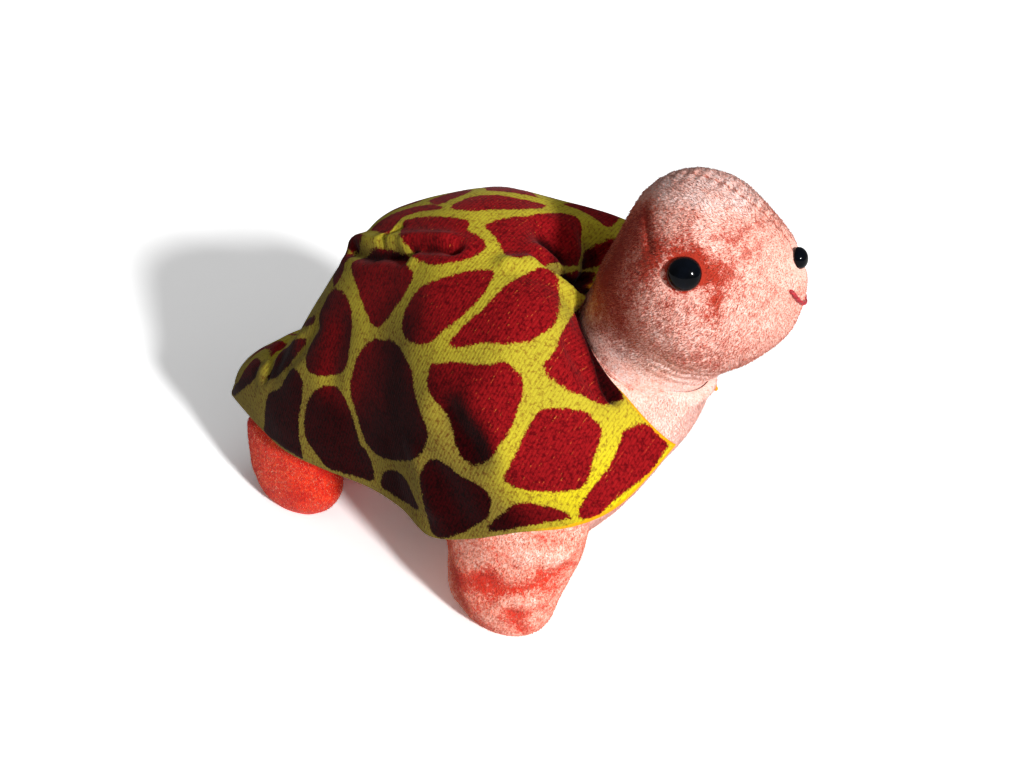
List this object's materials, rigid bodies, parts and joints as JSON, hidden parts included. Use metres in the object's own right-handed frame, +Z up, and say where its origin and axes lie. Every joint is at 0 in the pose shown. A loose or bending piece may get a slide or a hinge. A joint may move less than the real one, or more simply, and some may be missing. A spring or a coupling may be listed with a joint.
{
  "type": "tortoise hand puppet",
  "caption": "Soft plush tortoise glove puppet: printed padded shell, stuffed head on a turning neck, four stuffed legs and a bound opening underneath for the hand.",
  "frame": {"origin": "centre of the outline's box, on the floor that the paws rest on", "axes": "+Z up; -Y is the way the puppet looks; +X is the puppet's left"},
  "size_m": [0.1266, 0.2356, 0.1651],
  "materials": {
    "shell_velour": "printed velour, dark red patches on olive yellow",
    "wadding": "white polyester wadding",
    "lining": "plain woven lining",
    "pink_plush": "crushed short-pile plush, pale pink",
    "orange_plush": "crushed short-pile plush, warm orange",
    "stuffing": "loose polyester fibre",
    "black_bead": "polished black dome",
    "washer": "moulded locking washer",
    "red_thread": "embroidery thread",
    "binding": "rolled plush binding"
  },
  "bodies": {
    "torso": {"shell_cover": "shell_velour", "shell_wadding": "wadding", "glove_lining": "lining", "belly_panel": "pink_plush", "opening_binding": "binding"},
    "neck": {"neck_band": "pink_plush"},
    "head": {"head_skin": "pink_plush", "head_stuffing": "stuffing", "finger_sleeve": "lining", "eye_right": "black_bead", "eye_washer_right": "washer", "eye_left": "black_bead", "eye_washer_left": "washer", "nose_bead": "black_bead", "nose_washer": "washer", "smile_thread": "red_thread"},
    "foreleg_right": {"foreleg_right_skin": "pink_plush", "foreleg_right_stuffing": "stuffing"},
    "foreleg_left": {"foreleg_left_skin": "pink_plush", "foreleg_left_stuffing": "stuffing"},
    "hindleg_right": {"hindleg_right_skin": "orange_plush", "hindleg_right_stuffing": "stuffing"},
    "hindleg_left": {"hindleg_left_skin": "orange_plush", "hindleg_left_stuffing": "stuffing"}
  },
  "joints": [
    {"name": "head_turn", "type": "hinge", "parent": "torso", "child": "neck", "pos_m": [0, -0.065, 0.102], "axis": [0, -0.5, 0.866], "range_deg": [-30, 30], "stiffness_Nm_per_rad": 0.3},
    {"name": "head_nod", "type": "hinge", "parent": "neck", "child": "head", "pos_m": [0, -0.065, 0.102], "axis": [1, 0, 0], "range_deg": [-15, 20], "stiffness_Nm_per_rad": 0.4},
    {"name": "foreleg_right_swing", "type": "hinge", "parent": "torso", "child": "foreleg_right", "pos_m": [-0.0402, -0.038, 0.062], "axis": [1, 0, 0], "range_deg": [-29.5, 18.5], "stiffness_Nm_per_rad": 0.6},
    {"name": "foreleg_left_swing", "type": "hinge", "parent": "torso", "child": "foreleg_left", "pos_m": [0.0402, -0.038, 0.062], "axis": [1, 0, 0], "range_deg": [-45, 3], "stiffness_Nm_per_rad": 0.6},
    {"name": "hindleg_right_swing", "type": "hinge", "parent": "torso", "child": "hindleg_right", "pos_m": [-0.0138, 0.079, 0.034], "axis": [1, 0, 0], "range_deg": [-15, 7], "stiffness_Nm_per_rad": 0.6},
    {"name": "hindleg_left_swing", "type": "hinge", "parent": "torso", "child": "hindleg_left", "pos_m": [0.0138, 0.079, 0.034], "axis": [1, 0, 0], "range_deg": [-15, 7], "stiffness_Nm_per_rad": 0.6}
  ]
}
